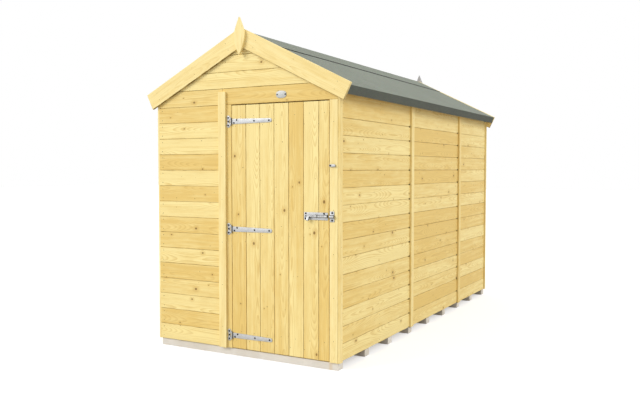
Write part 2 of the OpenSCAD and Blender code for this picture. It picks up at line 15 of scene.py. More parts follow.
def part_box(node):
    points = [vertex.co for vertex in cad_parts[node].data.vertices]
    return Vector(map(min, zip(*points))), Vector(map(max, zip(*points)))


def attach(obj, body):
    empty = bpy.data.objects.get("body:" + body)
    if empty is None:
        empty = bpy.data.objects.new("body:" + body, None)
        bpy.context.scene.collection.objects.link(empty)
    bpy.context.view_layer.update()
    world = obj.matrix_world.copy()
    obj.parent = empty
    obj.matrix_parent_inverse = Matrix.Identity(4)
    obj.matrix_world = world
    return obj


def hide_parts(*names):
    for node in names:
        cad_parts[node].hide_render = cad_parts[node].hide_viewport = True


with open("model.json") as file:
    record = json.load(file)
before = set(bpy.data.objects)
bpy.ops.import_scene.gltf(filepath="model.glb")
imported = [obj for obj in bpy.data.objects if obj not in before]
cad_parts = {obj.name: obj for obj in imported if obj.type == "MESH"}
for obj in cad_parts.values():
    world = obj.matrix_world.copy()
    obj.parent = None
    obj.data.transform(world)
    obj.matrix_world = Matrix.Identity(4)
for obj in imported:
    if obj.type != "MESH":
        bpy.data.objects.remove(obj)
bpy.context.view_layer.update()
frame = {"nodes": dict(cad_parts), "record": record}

SEED = 1906
RNG = random.Random(SEED)
BODIES = frame["record"]["behaviour"]["bodies"]
BODY_OF = {node: body for body, nodes in BODIES.items() for node in nodes}
SLOT_OF = {part["node"]: part["material_slot"] for part in frame["record"]["subparts"]}

# Directions
UP = Vector((0, 0, 1))
FRONT = Vector((0, -1, 0))
BACK = Vector((0, 1, 0))
RIGHT = Vector((1, 0, 0))
LEFT = Vector((-1, 0, 0))

# Tolerances
NEAR = 1e-4
WELD = 2e-5
FLAT_ANGLE = math.radians(1)
SHARP_ANGLE = math.radians(25)
SMOOTH_ANGLE = math.radians(35)

# Boards
BOARD_PITCH = 0.115
DOOR_PITCH = 0.116
FIRST_DOOR_BOARD = 0.120
LEAST_DOOR_BOARD = 0.01
FLOOR_PITCH = 0.112
ROOF_PITCH = 0.098
LAST_WIDER = 0.02  # how much wider the last board of a run may be, as a share of the pitch
DOOR_EASE = 0.0018  # how far the door's edges and the hinge post draw into the gaps round the door
PEAK_CUT = 0.004  # how far under its point the top board of a gable stops
JOINT = 0.0026
JOINT_SHARE = (0.35, 1.05)
BOARD_SHIFT = 0.0004  # how far back the face of a board may lie
TONGUE = 0.004
TONGUE_T = 0.003
TONGUE_SHARE = 0.34  # where the tongue lies in the thickness
TONGUE_PLAY = 0.0002
GRAIN_SHIFT = 60.0  # length of the grain from which each board takes its own stretch

# Worn edges of boards, and the notches beside cover strips
CHAMFER = 0.0021
WEAR = (0.55, 1.45)
WEAR_STEP = 0.06
NOTCH = 0.0062
# level of painted shadow in the notches beside cover strips
NOTCH_PAINTED_SHADE = 7.0
NOTCH_REACH = 0.030
NOTCH_RUN = 0.006

# Edge rounding
TIMBER_BEVEL = 0.0018
BARGE_BEVEL = 0.0034
METAL_BEVEL = 0.0005
FELT_BEVEL = 0.0008
BEVEL_STEPS = 2
BEVEL_PROFILE = 0.6


# Shader nodes
class Shader:
    """Builds the node tree of a material or a world; the methods add nodes and return output sockets."""

    def __init__(self, owner, surface="Principled BSDF"):
        owner.use_nodes = True
        self.owner = owner
        self.tree = owner.node_tree
        self.surface = self.tree.nodes[surface]

    def node(self, kind, inputs=(), **settings):
        made = self.tree.nodes.new(kind)
        for key, value in settings.items():
            setattr(made, key, value)
        for key, value in dict(inputs).items():
            self.put(made.inputs[key], value)
        return made

    def put(self, socket, value):
        if isinstance(value, bpy.types.NodeSocket):
            self.tree.links.new(value, socket)
        else:
            socket.default_value = value

    def math(self, operation, a, b=0.0, clamp=False):
        made = self.node("ShaderNodeMath", {0: a, 1: b}, operation=operation, use_clamp=clamp)
        return made.outputs[0]

    def add(self, a, b):
        return self.math("ADD", a, b)

    def mul(self, a, b):
        return self.math("MULTIPLY", a, b)

    def centred(self, value, gain):
        """A value of 0 to 1 as a swing about 0."""
        return self.mul(self.math("SUBTRACT", value, 0.5), gain)

    def reach(self, x, y):
        return self.math("SQRT", self.add(self.mul(x, x), self.mul(y, y)))

    def split(self, vector):
        return self.node("ShaderNodeSeparateXYZ", {0: vector}).outputs

    def join(self, x, y, z):
        return self.node("ShaderNodeCombineXYZ", {0: x, 1: y, 2: z}).outputs[0]

    def attribute(self, name):
        return self.node("ShaderNodeAttribute", attribute_name=name).outputs["Vector"]

    def position(self):
        return self.node("ShaderNodeTexCoord").outputs["Object"]

    def noise(self, vector, scale, detail=2.0, roughness=0.5):
        inputs = {"Vector": vector, "Scale": scale, "Detail": detail, "Roughness": roughness}
        return self.node("ShaderNodeTexNoise", inputs).outputs["Fac"]

    def drawn_noise(self, values, scales, detail=2.0, roughness=0.5):
        """Noise over three values, each with its own scale."""
        scaled = [self.mul(value, scale) for value, scale in zip(values, scales)]
        return self.noise(self.join(*scaled), 1.0, detail, roughness)

    def cells(self, vector, scale, **settings):
        inputs = {"Vector": vector, "Scale": scale}
        return self.node("ShaderNodeTexVoronoi", inputs, **settings).outputs

    def remap(self, value, low, high, to_low=0.0, to_high=1.0):
        inputs = {0: value, 1: low, 2: high, 3: to_low, 4: to_high}
        made = self.node("ShaderNodeMapRange", inputs, interpolation_type="SMOOTHSTEP")
        return made.outputs[0]

    def mix(self, factor, a, b, blend="MIX"):
        """A mix of two colours, which are sockets 6 and 7 of the node, with the result at 2."""
        made = self.node("ShaderNodeMix", data_type="RGBA", blend_type=blend)
        self.put(made.inputs[0], factor)
        self.put(made.inputs[6], a)
        self.put(made.inputs[7], b)
        return made.outputs[2]

    def shaded(self, colour, level):
        return self.mix(1.0, colour, self.join(level, level, level), "MULTIPLY")

    def bump(self, height, distance, strength=1.0):
        inputs = {"Height": height, "Distance": distance, "Strength": strength}
        return self.node("ShaderNodeBump", inputs).outputs["Normal"]

    def seen(self):
        """1 for rays from the camera, straight or by way of gloss or glass, and 0 for all others."""
        path = self.node("ShaderNodeLightPath").outputs
        direct = self.math("MAXIMUM", path["Is Camera Ray"], path["Is Glossy Ray"])
        return self.math("MAXIMUM", direct, path["Is Transmission Ray"])

    def finish(self, **inputs):
        for key, value in inputs.items():
            self.put(self.surface.inputs[key.replace("_", " ")], value)
        return self.owner


def srgb(red, green, blue):
    """An sRGB colour of 0 to 255 as the linear colour that a shader takes."""
    def linear(value):
        share = value / 255
        return share / 12.92 if share <= 0.04045 else ((share + 0.055) / 1.055) ** 2.4
    return (linear(red), linear(green), linear(blue), 1.0)


# Pine: knots and pin knots, with the number of cells a metre along and across
KNOT_CELLS = (2.3, 8.0)
KNOT_R = (0.0028, 0.0103)
KNOT_EDGE = (1.15, 0.6)  # where a knot starts and where it is full, in knot radii
HALO_EDGE = (4.5, 1.0)
KNOT_LENGTH = 0.75  # under 1 draws the knots out along the board
PIN_CELLS = (6.0, 15.0)
PIN_R = (0.0014, 0.0038)
PIN_EDGE = (1.3, 0.5)
PIN_SHARE = 0.55
CELL_SHIFT = 19.0

# Pine: growth rings
PITH_SWING = 0.09
PITH_OFFSET = 0.11
PITH_DEPTH = (0.006, 0.066)
KNOT_BEND = 0.012
RIPPLE = 0.0022
RING_COUNT = 120.0
RING_COUNT_SPREAD = 90.0

# Pine: colours of marks
LATE_WOOD = srgb(211, 174, 95)
KNOT_HALO = srgb(205, 164, 84)
KNOT_CORE = srgb(146, 108, 48)
KNOT_RIM = srgb(94, 68, 24)
PIN_KNOT = srgb(134, 104, 46)
# brown of the painted shade in joint grooves and notches and on bargeboard undersides
PAINTED_SHADE_BROWN = srgb(142, 116, 56)


def knots_in(s, along, across, seed, cells, share, radii):
    """Knots: one point in a share of the cells of a loose pattern.

    Returns the distance from the nearest knot in knot radii, and 1 where that cell has a knot.
    """
    cells_along, cells_across = cells
    small, large = radii
    spot_x = s.mul(along, cells_along)
    spot_y = s.add(s.mul(across, cells_across), s.mul(seed, CELL_SHIFT))
    pattern = s.cells(s.join(spot_x, spot_y, 0.0), 1.0, voronoi_dimensions="2D")
    centre = s.split(pattern["Position"])
    off_x = s.mul(s.math("SUBTRACT", spot_x, centre[0]), KNOT_LENGTH / cells_along)
    off_y = s.mul(s.math("SUBTRACT", spot_y, centre[1]), 1.0 / cells_across)
    chance = s.split(pattern["Color"])
    size = s.add(s.mul(s.mul(chance[1], chance[1]), large - small), small)
    return s.math("DIVIDE", s.reach(off_x, off_y), size), s.math("LESS_THAN", chance[0], share)


def pine(name, pale, golden, knots=0.58, rings=1.0, roughness=0.58):
    """Planed pine. The grain attribute runs along, across and into each board.

    The lumber attribute holds the board's tone and seed, and a level of painted shade in joints, notches and
    undersides.
    """
    s = Shader(bpy.data.materials.new(name))
    along, across, deep = s.split(s.attribute("grain"))
    tone, seed, painted_shade_level = s.split(s.attribute("lumber"))

    spread, shown = knots_in(s, along, across, seed, KNOT_CELLS, knots, KNOT_R)
    knot = s.mul(s.remap(spread, *KNOT_EDGE), shown)
    halo = s.mul(s.remap(spread, *HALO_EDGE), shown)
    pin_spread, pin_shown = knots_in(s, along, across, seed, PIN_CELLS, knots * PIN_SHARE, PIN_R)
    pin = s.mul(s.remap(pin_spread, *PIN_EDGE), pin_shown)

    # Growth rings about a pith that wanders behind the board, bent round the knots
    wander = s.drawn_noise((along, across, seed), (1.2, 3.0, 40.0))
    side = s.add(s.add(across, s.centred(wander, PITH_SWING)), s.centred(seed, PITH_OFFSET))
    side = s.add(side, s.mul(halo, KNOT_BEND))
    pith = s.drawn_noise((along, seed, 0.0), (1.1, 70.0, 0.0), 1.0)
    depth = s.add(deep, s.remap(pith, 0.25, 0.75, *PITH_DEPTH))
    ripple = s.drawn_noise((along, across, seed), (9.0, 40.0, 30.0))
    radius = s.add(s.reach(side, depth), s.mul(ripple, RIPPLE))
    ring = s.math("FRACT", s.mul(radius, s.add(s.mul(seed, RING_COUNT_SPREAD), RING_COUNT)))
    late = s.mul(s.remap(ring, 0.35, 0.92), s.remap(ring, 1.0, 0.94))

    # Fibres, slow streaks and blotches
    fibre = s.drawn_noise((along, across, deep), (7.0, 420.0, 420.0), 3.0, 0.6)
    streak = s.drawn_noise((along, across, seed), (1.8, 46.0, 60.0), 4.0, 0.6)
    blotch = s.drawn_noise((along, across, seed), (7.0, 24.0, 23.0), 3.0, 0.6)
    warm = s.add(s.add(tone, s.centred(streak, 1.5)), s.centred(blotch, 1.1))
    colour = s.mix(s.math("ADD", warm, 0.0, clamp=True), pale, golden)
    line = s.mul(late, s.remap(streak, 0.2, 0.75, 0.16 * rings, 0.58 * rings))
    colour = s.mix(line, colour, LATE_WOOD)
    colour = s.shaded(colour, s.add(s.centred(fibre, 0.22), 1.0))
    colour = s.mix(s.mul(halo, 0.4), colour, KNOT_HALO)
    core = s.mix(s.remap(spread, 0.2, 0.95), KNOT_CORE, KNOT_RIM)
    colour = s.mix(s.mul(knot, 0.9), colour, core)
    colour = s.mix(s.mul(pin, 0.8), colour, PIN_KNOT)

    # Painted shade in joints, notches and undersides, darker in some places than in others
    patch = s.drawn_noise((along, seed, 0.0), (13.0, 50.0, 0.0))
    dark = s.math("MULTIPLY", painted_shade_level, s.remap(patch, 0.3, 0.7, 0.1, 0.42), clamp=True)
    colour = s.mix(dark, colour, PAINTED_SHADE_BROWN)
    rough = s.add(s.centred(fibre, 0.14), roughness)
    height = s.add(s.mul(fibre, 0.5), s.mul(late, 0.35))
    return s.finish(Base_Color=colour, Roughness=rough, Specular_IOR_Level=0.25,
                    Normal=s.bump(height, 0.0005, 0.35))


# Felt and metal
FELT_LEVEL = 0.968
# how dark the painted shade on turned-down felt is
TURNED_PAINTED_SHADE = 0.51
# how dark the painted shade and dull cut edges on metal faces turned from the front are
DULL_AND_SHADED_LEVEL = 0.3


def felt_material(name, dark, light):
    """Mineral-faced roofing felt: granules of two colours with slow mottling.

    The turned attribute marks where the sheet turns down, and the felt is darker there as painted shade.
    """
    s = Shader(bpy.data.materials.new(name))
    where = s.position()
    turned = s.split(s.attribute("turned"))[0]
    granule = s.noise(where, 620.0, 2.0, 0.7)
    speck = s.cells(where, 480.0)["Color"]
    mottle = s.noise(where, 2.6, 3.0)
    patch = s.noise(where, 34.0, 3.0, 0.6)
    colour = s.mix(0.22, s.mix(granule, dark, light), speck, "SOFT_LIGHT")
    shade = s.add(s.add(s.centred(mottle, 0.22), FELT_LEVEL), s.centred(patch, 0.3))
    # painted shade on the faces that turn down
    shade = s.mul(shade, s.remap(turned, 0.0, 1.0, 1.0, TURNED_PAINTED_SHADE))
    return s.finish(Base_Color=s.shaded(colour, shade), Roughness=0.9, Specular_IOR_Level=0.2,
                    Normal=s.bump(granule, 0.0012, 0.5))


def zinc_material(name, light, dark, roughness, metallic=1.0):
    """Plated steel with faint spangle.

    A face attribute darkens faces turned from the front: painted shade on the sides of round parts, and
    dull, shaded cut edges.
    """
    s = Shader(bpy.data.materials.new(name))
    where = s.position()
    dull_and_shaded = s.split(s.attribute("dull_and_shaded"))[0]
    spangle = s.cells(where, 190.0)["Distance"]
    cloud = s.noise(where, 45.0, 3.0)
    colour = s.mix(s.mul(s.add(spangle, cloud), 0.6), light, dark)
    # painted shade on faces turned from the front, which also dulls the cut edges
    colour = s.shaded(colour, s.remap(dull_and_shaded, 0.0, 1.0, 1.0, DULL_AND_SHADED_LEVEL))
    rough = s.add(s.mul(cloud, 0.18), roughness)
    return s.finish(Base_Color=colour, Metallic=metallic, Roughness=rough,
                    Normal=s.bump(spangle, 0.0002, 0.15))


MATERIALS = {
    "cladding": pine("cladding", srgb(250, 229, 159), srgb(233, 200, 119)),
    "trim_timber": pine("trim_timber", srgb(252, 232, 167), srgb(236, 206, 128), knots=0.0, rings=0.5),
    "framing": pine("framing", srgb(244, 220, 158), srgb(222, 184, 108), roughness=0.68),
    "roof_timber": pine("roof_timber", srgb(216, 194, 138), srgb(188, 156, 94), roughness=0.7),
    "deck_timber": pine("deck_timber", srgb(240, 215, 154), srgb(216, 180, 108)),
    # pale grey bearers, made paler still as painted light against the shade under the shed
    "bearer_timber": pine("bearer_timber", srgb(230, 224, 214), srgb(208, 200, 186), knots=0.15, rings=0.3,
                          roughness=0.78),
    "grey_timber": pine("grey_timber", srgb(174, 173, 174), srgb(154, 152, 152), knots=0.0, rings=0.2),
    "felt": felt_material("felt", srgb(107, 113, 102), srgb(152, 157, 145)),
    "bitumen": felt_material("bitumen", srgb(42, 44, 41), srgb(66, 68, 64)),
    "zinc_steel": zinc_material("zinc_steel", srgb(208, 208, 206), srgb(164, 165, 166), 0.42, 0.75),
    "plate_metal": zinc_material("plate_metal", srgb(186, 186, 182), srgb(162, 163, 160), 0.48),
    "nail_steel": zinc_material("nail_steel", srgb(152, 136, 102), srgb(112, 99, 74), 0.6),
    "clout_steel": zinc_material("clout_steel", srgb(138, 142, 134), srgb(104, 108, 101), 0.6),
    "screw_steel": zinc_material("screw_steel", srgb(26, 25, 25), srgb(10, 10, 10), 0.6),
}


# Meshes
def add_piece(name, mesh, body, slot, material, nodes=()):
    """Links a mesh as a piece that rides on a body and stands for some of its nodes."""
    piece = bpy.data.objects.new(name, mesh)
    bpy.context.scene.collection.objects.link(piece)
    mesh.materials.clear()
    mesh.materials.append(MATERIALS[material])
    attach(piece, body)
    if nodes:
        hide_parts(*nodes)


def mesh_of(name, whole):
    """A mesh made from a bmesh, which is freed."""
    mesh = bpy.data.meshes.new(name)
    whole.to_mesh(mesh)
    whole.free()
    return mesh


def closed_mesh(name, whole):
    """A mesh made from a bmesh of closed forms, whose faces are turned outwards."""
    bmesh.ops.recalc_face_normals(whole, faces=whole.faces)
    return mesh_of(name, whole)


def joined(name, solids):
    """One mesh of several solids, which are freed."""
    whole = bmesh.new()
    for solid in solids:
        part = mesh_of("part", solid)
        whole.from_mesh(part)
        bpy.data.meshes.remove(part)
    return mesh_of(name, whole)


def wrap(whole, rings):
    """Adds the faces between rings of corners that follow each other."""
    for ring, following in zip(rings, rings[1:]):
        for i in range(len(ring)):
            j = (i + 1) % len(ring)
            whole.faces.new([ring[i], ring[j], following[j], following[i]])


def tube(whole, rings):
    """Adds a form through rings of corners, closed at both ends."""
    wrap(whole, rings)
    whole.faces.new(list(reversed(rings[0])))
    whole.faces.new(rings[-1])


def mark(mesh, name, level):
    """Gives each face of a mesh a level that is worked out from its normal."""
    layer = mesh.attributes.new(name, "FLOAT_VECTOR", "FACE")
    for i, face in enumerate(mesh.polygons):
        layer.data[i].vector = (level(face.normal), 0.0, 0.0)


def points_of(node):
    """The corners of a node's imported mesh."""
    return [vert.co for vert in frame["nodes"][node].data.vertices]


def box_of(solid):
    """Lowest and highest corner of a bmesh."""
    low = Vector(min(v.co[i] for v in solid.verts) for i in range(3))
    high = Vector(max(v.co[i] for v in solid.verts) for i in range(3))
    return low, high


def solids_of(node):
    """The separate solids of a node, each as a bmesh with its flat faces made whole."""
    source = bmesh.new()
    source.from_mesh(frame["nodes"][node].data)
    bmesh.ops.remove_doubles(source, verts=source.verts, dist=WELD)
    done = set()
    solids = []
    for first in source.verts:
        if first in done:
            continue
        solid = bmesh.new()
        copies = {}
        front = [first]
        while front:
            vert = front.pop()
            if vert in copies:
                continue
            copies[vert] = solid.verts.new(vert.co)
            front.extend(edge.other_vert(vert) for edge in vert.link_edges)
        done.update(copies)
        for face in source.faces:
            if face.verts[0] in copies:
                solid.faces.new([copies[vert] for vert in face.verts])
        bmesh.ops.dissolve_limit(solid, angle_limit=FLAT_ANGLE, verts=solid.verts, edges=solid.edges)
        solids.append(solid)
    source.free()
    return sorted(solids, key=lambda solid: [round(value, 4) for value in box_of(solid)[0]])


def boxes_of(node):
    """Boxes of a node's solids."""
    solids = solids_of(node)
    boxes = [box_of(solid) for solid in solids]
    for solid in solids:
        solid.free()
    return boxes


# Boards and timbers
class Lumber:
    """Collects boards and timbers into one mesh, each with its own grain, tone and seed."""

    def __init__(self):
        self.verts = []
        self.faces = []
        self.grain = []
        self.lumber = []

    def take(self, solid, along, across, deep, tones, joints=(0.0,)):
        """Adds a bmesh whose grain has the given axes; tones and joints, the levels of painted shade, repeat
        over its points.
        """
        seed = RNG.random()
        shift = RNG.uniform(0.0, GRAIN_SHIFT)
        low, high = box_of(solid)
        middle = (low + high) / 2
        first = len(self.verts)
        solid.verts.index_update()
        for vert in solid.verts:
            off = vert.co - middle
            self.verts.append(vert.co.copy())
            self.grain.append((off.dot(along) + shift, off.dot(across), off.dot(deep)))
            self.lumber.append((tones[vert.index % len(tones)], seed, joints[vert.index % len(joints)]))
        for face in solid.faces:
            self.faces.append([first + vert.index for vert in face.verts])
        solid.free()

    def board(self, axes, section, start, end, tone, stations, fade=0.0):
        """Adds a board from start to end, over which its tone changes by fade.

        The section gives points of across and depth for the wear of the board's low and high edges. Each
        station is a share of the way along with the two wears there.
        """
        origin, along, across, deep = axes
        solid = bmesh.new()
        rings = []
        tones = []
        joints = []
        for share, low_wear, high_wear in stations:
            profile = section(low_wear, high_wear)
            face = max(w for v, w in profile)
            wear = max(low_wear, high_wear)
            # painted shadow fills a notch; elsewhere the painted shade in a joint's groove grows with the
            # wear of its edge
            depth = NOTCH_PAINTED_SHADE if wear == NOTCH else wear / CHAMFER
            ring = []
            for v, w in profile:
                place = start(v, w) * (1.0 - share) + end(v, w) * share
                ring.append(solid.verts.new(origin + along * place + across * v + deep * w))
                tones.append(tone + fade * share)
                joints.append(depth if 0.0 < w < face - CHAMFER / 4 else 0.0)
            rings.append(ring)
        tube(solid, rings)
        bmesh.ops.recalc_face_normals(solid, faces=solid.faces)
        self.take(solid, along, across, deep, tones, joints)

    def mesh(self, name):
        made = bpy.data.meshes.new(name)
        made.from_pydata(self.verts, [], self.faces)
        for key, values in (("grain", self.grain), ("lumber", self.lumber)):
            layer = made.attributes.new(key, "FLOAT_VECTOR", "POINT")
            layer.data.foreach_set("vector", [x for value in values for x in value])
        made.validate()
        return made


def matched_section(v0, v1, thick, tongued=True):
    """Section of a tongue-and-groove board; depth runs from the back to the face.

    Returns a function of the chamfers at the low and the high edge of the face.
    """
    low = v0 + JOINT / 2 * RNG.uniform(*JOINT_SHARE)
    high = v1 - JOINT / 2 * RNG.uniform(*JOINT_SHARE)
    face = thick - RNG.uniform(0.0, BOARD_SHIFT)
    t0 = thick * TONGUE_SHARE - TONGUE_T / 2
    t1 = thick * TONGUE_SHARE + TONGUE_T / 2
    tip = v1 + TONGUE
    root = v0 + TONGUE + TONGUE_PLAY

    def section(low_wear, high_wear):
        points = [
            (low, 0.0), (low, t0 - TONGUE_PLAY), (root, t0 - TONGUE_PLAY), (root, t1 + TONGUE_PLAY),
            (low, t1 + TONGUE_PLAY), (low, face - low_wear), (low + low_wear, face),
            (high - high_wear, face), (high, face - high_wear), (high, t1),
        ]
        if tongued:
            points += [(tip, t1), (tip, t0)]
        return points + [(high, t0), (high, 0.0)]

    return section


def stations_of(length, notch_start=0.0, notch_end=0.0):
    """Wear along a board, uneven as planed edges are.

    Where a cover strip lies over an end, the edges are notched from a little before the strip to that end.
    """
    def wear():
        return CHAMFER * RNG.uniform(*WEAR)

    first = notch_start + NOTCH_REACH if notch_start else 0.0
    last = length - notch_end - NOTCH_REACH if notch_end else length
    steps = max(1, round((last - first) / WEAR_STEP))
    stations = [((first + (last - first) * i / steps) / length, wear(), wear()) for i in range(steps + 1)]
    if notch_start:
        stations.insert(0, ((first - NOTCH_RUN) / length, NOTCH, NOTCH))
        stations.insert(0, (0.0, NOTCH, NOTCH))
    if notch_end:
        stations.append(((last + NOTCH_RUN) / length, NOTCH, NOTCH))
        stations.append((1.0, NOTCH, NOTCH))
    return stations


def fixed(value):
    """A board end that is cut square."""
    return lambda v, w: value


def boards_piece(node, lumber):
    """Makes the piece of boards that stands for a node."""
    name = node + ".boards"
    slot = SLOT_OF[node]
    add_piece(name, lumber.mesh(name), BODY_OF[node], slot, slot, [node])


def run_boards(node, axes, bounds, thick, start, end, tones, notches=(0.0, 0.0), fades=(0.0,)):
    """Fills a node's panel with boards between the joints in bounds; the fades repeat over the boards."""
    lumber = Lumber()
    last = len(bounds) - 2
    for i, (v0, v1) in enumerate(zip(bounds, bounds[1:])):
        middle = (v0 + v1) / 2
        length = end(middle, 0.0) - start(middle, 0.0)
        section = matched_section(v0, v1, thick, i < last)
        stations = stations_of(length, *notches)
        lumber.board(axes, section, start, end, tones[i], stations, fades[i % len(fades)])
    boards_piece(node, lumber)


def even_bounds(low, high, pitch):
    """Joints at a pitch from low, with the rest in the last board."""
    count = max(1, math.ceil((high - low) / pitch - LAST_WIDER))
    return [low + i * pitch for i in range(count)] + [high]


# Tones of boards, from pale at 0 to golden at 1
PALE_TONES = (0.05, 0.35)
GOLDEN_TONES = (0.6, 0.95)
PICKED_PALE = (0.02, 0.26)
PICKED_WARM = (0.5, 0.62)
PICKED_GOLDEN = (0.7, 0.95)

# Shares of golden boards where they aren't picked one by one
FRONT_GABLE_SHARE = 0.0
LEFT_SHARE = 0.35
BACK_SHARE = 0.3
FLOOR_SHARE = 0.3
ROOF_SHARE = 0.4

# Boards that show golden or a little warm in the photo, counted from the foot of the front wall and of the
# three panels of the right wall, and from the hinges on the door
FRONT_GOLDEN = {1, 4, 6, 7, 9, 11, 14}
FRONT_WARM = {3, 15}
RIGHT_GOLDEN = ({3, 7, 10, 14}, {1, 4, 6, 7, 10, 12, 13}, {1, 3, 4, 6, 7, 9})
RIGHT_WARM = ({1, 4, 6, 11, 13}, {5, 11}, {11, 12})
DOOR_GOLDEN = {4}
DOOR_WARM = {0, 6}
HEADER_GOLDEN = {0}

# How much deeper in tone a panel is, on the right wall at its front end, and the change from there to its
# back end
HEADER_LIFT = 0.15
FRONT_GABLE_LIFT = -0.15
RIGHT_LIFT = (0.17, 0.3, 0.2)
RIGHT_FADE = (-0.44, -0.12, -0.3)

# The door's boards are deeper in tone at the foot and fade to the head; a golden one does the opposite
DOOR_FOOT = 0.5
DOOR_FADE = -0.75
GOLDEN_FOOT = -0.9
GOLDEN_FADE = 1.15


def random_tone(golden_share):
    """Tone of a board: mostly pale, with a share of golden ones."""
    golden = RNG.random() < golden_share
    return RNG.uniform(*(GOLDEN_TONES if golden else PALE_TONES))


def tones_for(count, golden, warm=(), lift=0.0):
    """Tones of a run of boards of which some are golden and some a little warm."""
    tones = [RNG.uniform(*PICKED_PALE) for _ in range(count)]
    for i in range(count):
        if i in golden:
            tones[i] = RNG.uniform(*PICKED_GOLDEN)
        elif i in warm:
            tones[i] = RNG.uniform(*PICKED_WARM)
    return [tone + lift for tone in tones]


# Wall cladding
CORNER_SLACK = 0.001
WALL_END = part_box("right_cover_strips")[1].y
GABLE_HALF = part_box("front_gable")[1].x
GABLE_EAVES = max(p.z for p in points_of("front_gable") if abs(p.x) > GABLE_HALF - NEAR)


def wall_axes(node, normal):
    """Axes of a wall panel at its lower back corner, looking at its face.

    Returns them with the panel's length, height and thickness.
    """
    low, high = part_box(node)
    along = UP.cross(normal)
    corner = Vector((
        low.x if along.x + normal.x >= 0 else high.x,
        low.y if along.y + normal.y >= 0 else high.y,
        low.z,
    ))
    size = high - low
    length = abs(size.dot(along))
    return (corner, along, UP, normal), length, size.z, abs(size.dot(normal))


def covered(node, strips):
    """How far cover strips lie over the front and the back end of a side panel.

    The strips at the corners of the shed don't count.
    """
    low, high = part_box(node)
    ends = [0.0, 0.0]
    for strip_low, strip_high in boxes_of(strips):
        at_corner = max(abs(strip_low.y), abs(strip_high.y)) > WALL_END - CORNER_SLACK
        if at_corner:
            continue
        if strip_low.y < low.y + NEAR < strip_high.y:
            ends[0] = strip_high.y - low.y
        if strip_low.y < high.y - NEAR < strip_high.y:
            ends[1] = high.y - strip_low.y
    return ends


def clad(node, normal, golden=None, warm=(), lift=0.0, fade=0.0, strips=None):
    """A square panel of level boards; the top board of a side wall, under the eaves, is a wide one."""
    axes, length, height, thick = wall_axes(node, normal)
    joints = even_bounds(0.0, height, BOARD_PITCH)
    if strips:
        joints.pop(-2)
    count = len(joints) - 1
    if golden is None:
        tones = [random_tone(LEFT_SHARE) for _ in range(count)]
    else:
        tones = tones_for(count, golden, warm, lift)
    notches = covered(node, strips) if strips else [0.0, 0.0]
    if axes[1].y < 0:
        notches.reverse()
    run_boards(node, axes, joints, thick, fixed(0.0), fixed(length), tones, notches, [fade])


def clad_gable(node, normal, golden_share, lift=0.0):
    """A wall of level boards whose top is cut to the slopes of the roof."""
    axes, length, height, thick = wall_axes(node, normal)
    eaves = GABLE_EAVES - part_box(node)[0].z
    rise = height - eaves
    half = length / 2

    def reach(v):
        return half if v <= eaves else half * max(0.0, (height - v) / rise)

    def start(v, w):
        return half - reach(v)

    def end(v, w):
        return half + reach(v)

    joints = even_bounds(0.0, height - PEAK_CUT, BOARD_PITCH)
    tones = [random_tone(golden_share) + lift for _ in joints]
    run_boards(node, axes, joints, thick, start, end, tones)


clad("front_left_panel", FRONT, FRONT_GOLDEN, FRONT_WARM)
clad("door_header", FRONT, HEADER_GOLDEN, lift=HEADER_LIFT)
clad_gable("front_gable", FRONT, FRONT_GABLE_SHARE, FRONT_GABLE_LIFT)
clad_gable("back_panel", BACK, BACK_SHARE)
RIGHT_LOOKS = zip(RIGHT_GOLDEN, RIGHT_WARM, RIGHT_LIFT, RIGHT_FADE)
for place, looks in zip(("front", "middle", "rear"), RIGHT_LOOKS):
    clad("right_" + place + "_panel", RIGHT, *looks, strips="right_cover_strips")
    clad("left_" + place + "_panel", LEFT, strips="left_cover_strips")


# Door, floor and roof boards
def door_boards():
    """Upright boards; across runs from the latch edge to the hinge edge."""
    low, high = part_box("door_boards")
    low.x -= DOOR_EASE
    high.x += DOOR_EASE
    axes = (Vector((high.x, high.y, low.z)), UP, LEFT, FRONT)
    size = high - low
    from_hinge = [0.0, FIRST_DOOR_BOARD + DOOR_EASE]
    while from_hinge[-1] + DOOR_PITCH < size.x - LEAST_DOOR_BOARD:
        from_hinge.append(from_hinge[-1] + DOOR_PITCH)
    from_hinge.append(size.x)
    joints = sorted(size.x - x for x in from_hinge)
    count = len(joints) - 1
    golden = {count - 1 - i for i in DOOR_GOLDEN}
    warm = {count - 1 - i for i in DOOR_WARM}
    tones = tones_for(count, golden, warm)
    tones = [tone + (GOLDEN_FOOT if i in golden else DOOR_FOOT) for i, tone in enumerate(tones)]
    fades = [GOLDEN_FADE if i in golden else DOOR_FADE for i in range(count)]
    run_boards("door_boards", axes, joints, size.y, fixed(0.0), fixed(size.z), tones, fades=fades)


def floor_boards():
    """Boards along the shed on the bearers."""
    low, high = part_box("floor_deck")
    axes = (Vector((high.x, low.y, low.z)), BACK, LEFT, UP)
    size = high - low
    joints = even_bounds(0.0, size.x, FLOOR_PITCH)
    tones = [random_tone(FLOOR_SHARE) for _ in joints]
    run_boards("floor_deck", axes, joints, size.z, fixed(0.0), fixed(size.y), tones)


